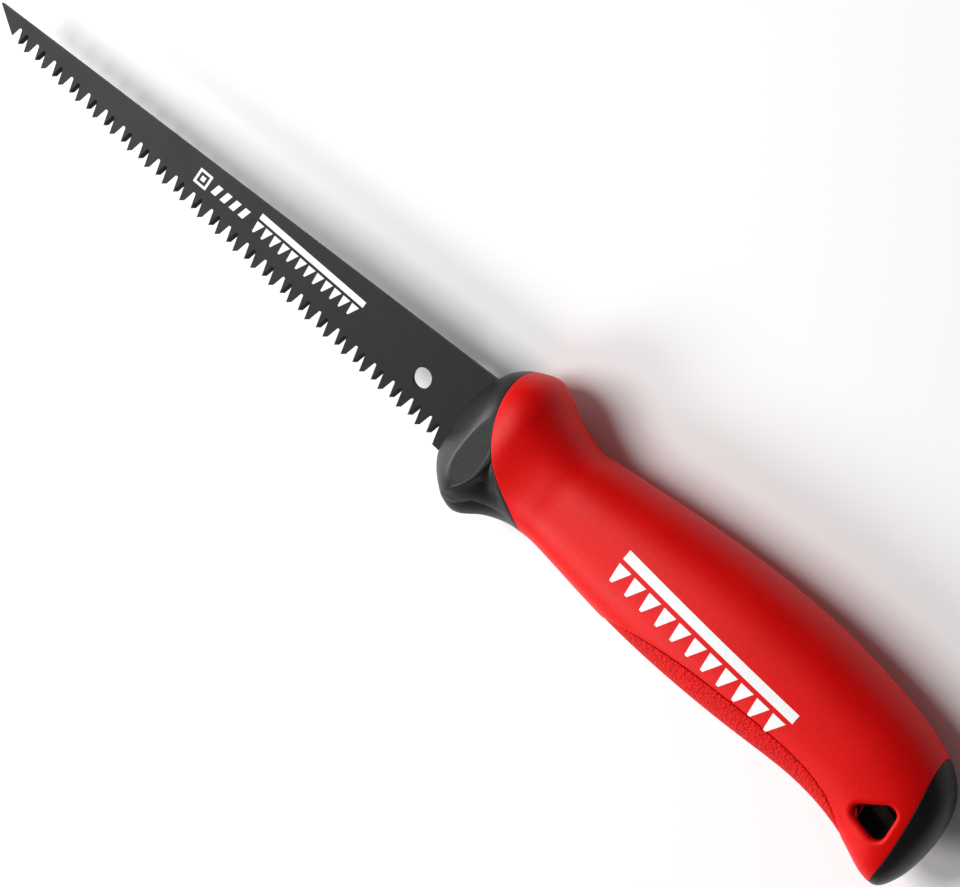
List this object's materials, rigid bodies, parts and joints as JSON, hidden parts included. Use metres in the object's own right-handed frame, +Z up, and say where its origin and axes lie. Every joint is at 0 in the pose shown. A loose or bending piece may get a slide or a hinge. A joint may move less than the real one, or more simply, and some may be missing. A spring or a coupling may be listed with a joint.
{
  "type": "drywall saw",
  "caption": "Drywall jab saw with a tapered black toothed blade, a sharp piercing point and a red moulded handle with a black bolster, butt cap and lanyard hole.",
  "frame": {"origin": "middle of the bounding box, on the surface that the saw lies on", "axes": "+X from the blade's point to the butt, +Y towards the back of the blade, +Z up, square to the blade's face"},
  "size_m": [0.3088, 0.0437, 0.0257],
  "materials": {
    "blade_black": "satin",
    "pin_steel": "satin",
    "core_black": "matte",
    "bolster_black": "satin",
    "grip_red": "satin",
    "pad_red": "textured",
    "print_white": "satin"
  },
  "bodies": {
    "root": {"blade_body": "blade_black", "tooth_tips": "blade_black", "tang_pins": "pin_steel", "core_near_half": "core_black", "core_far_half": "core_black", "bolster_collar": "bolster_black", "grip_shell": "grip_red", "belly_pad": "pad_red", "butt_cap": "bolster_black"}
  },
  "joints": []
}
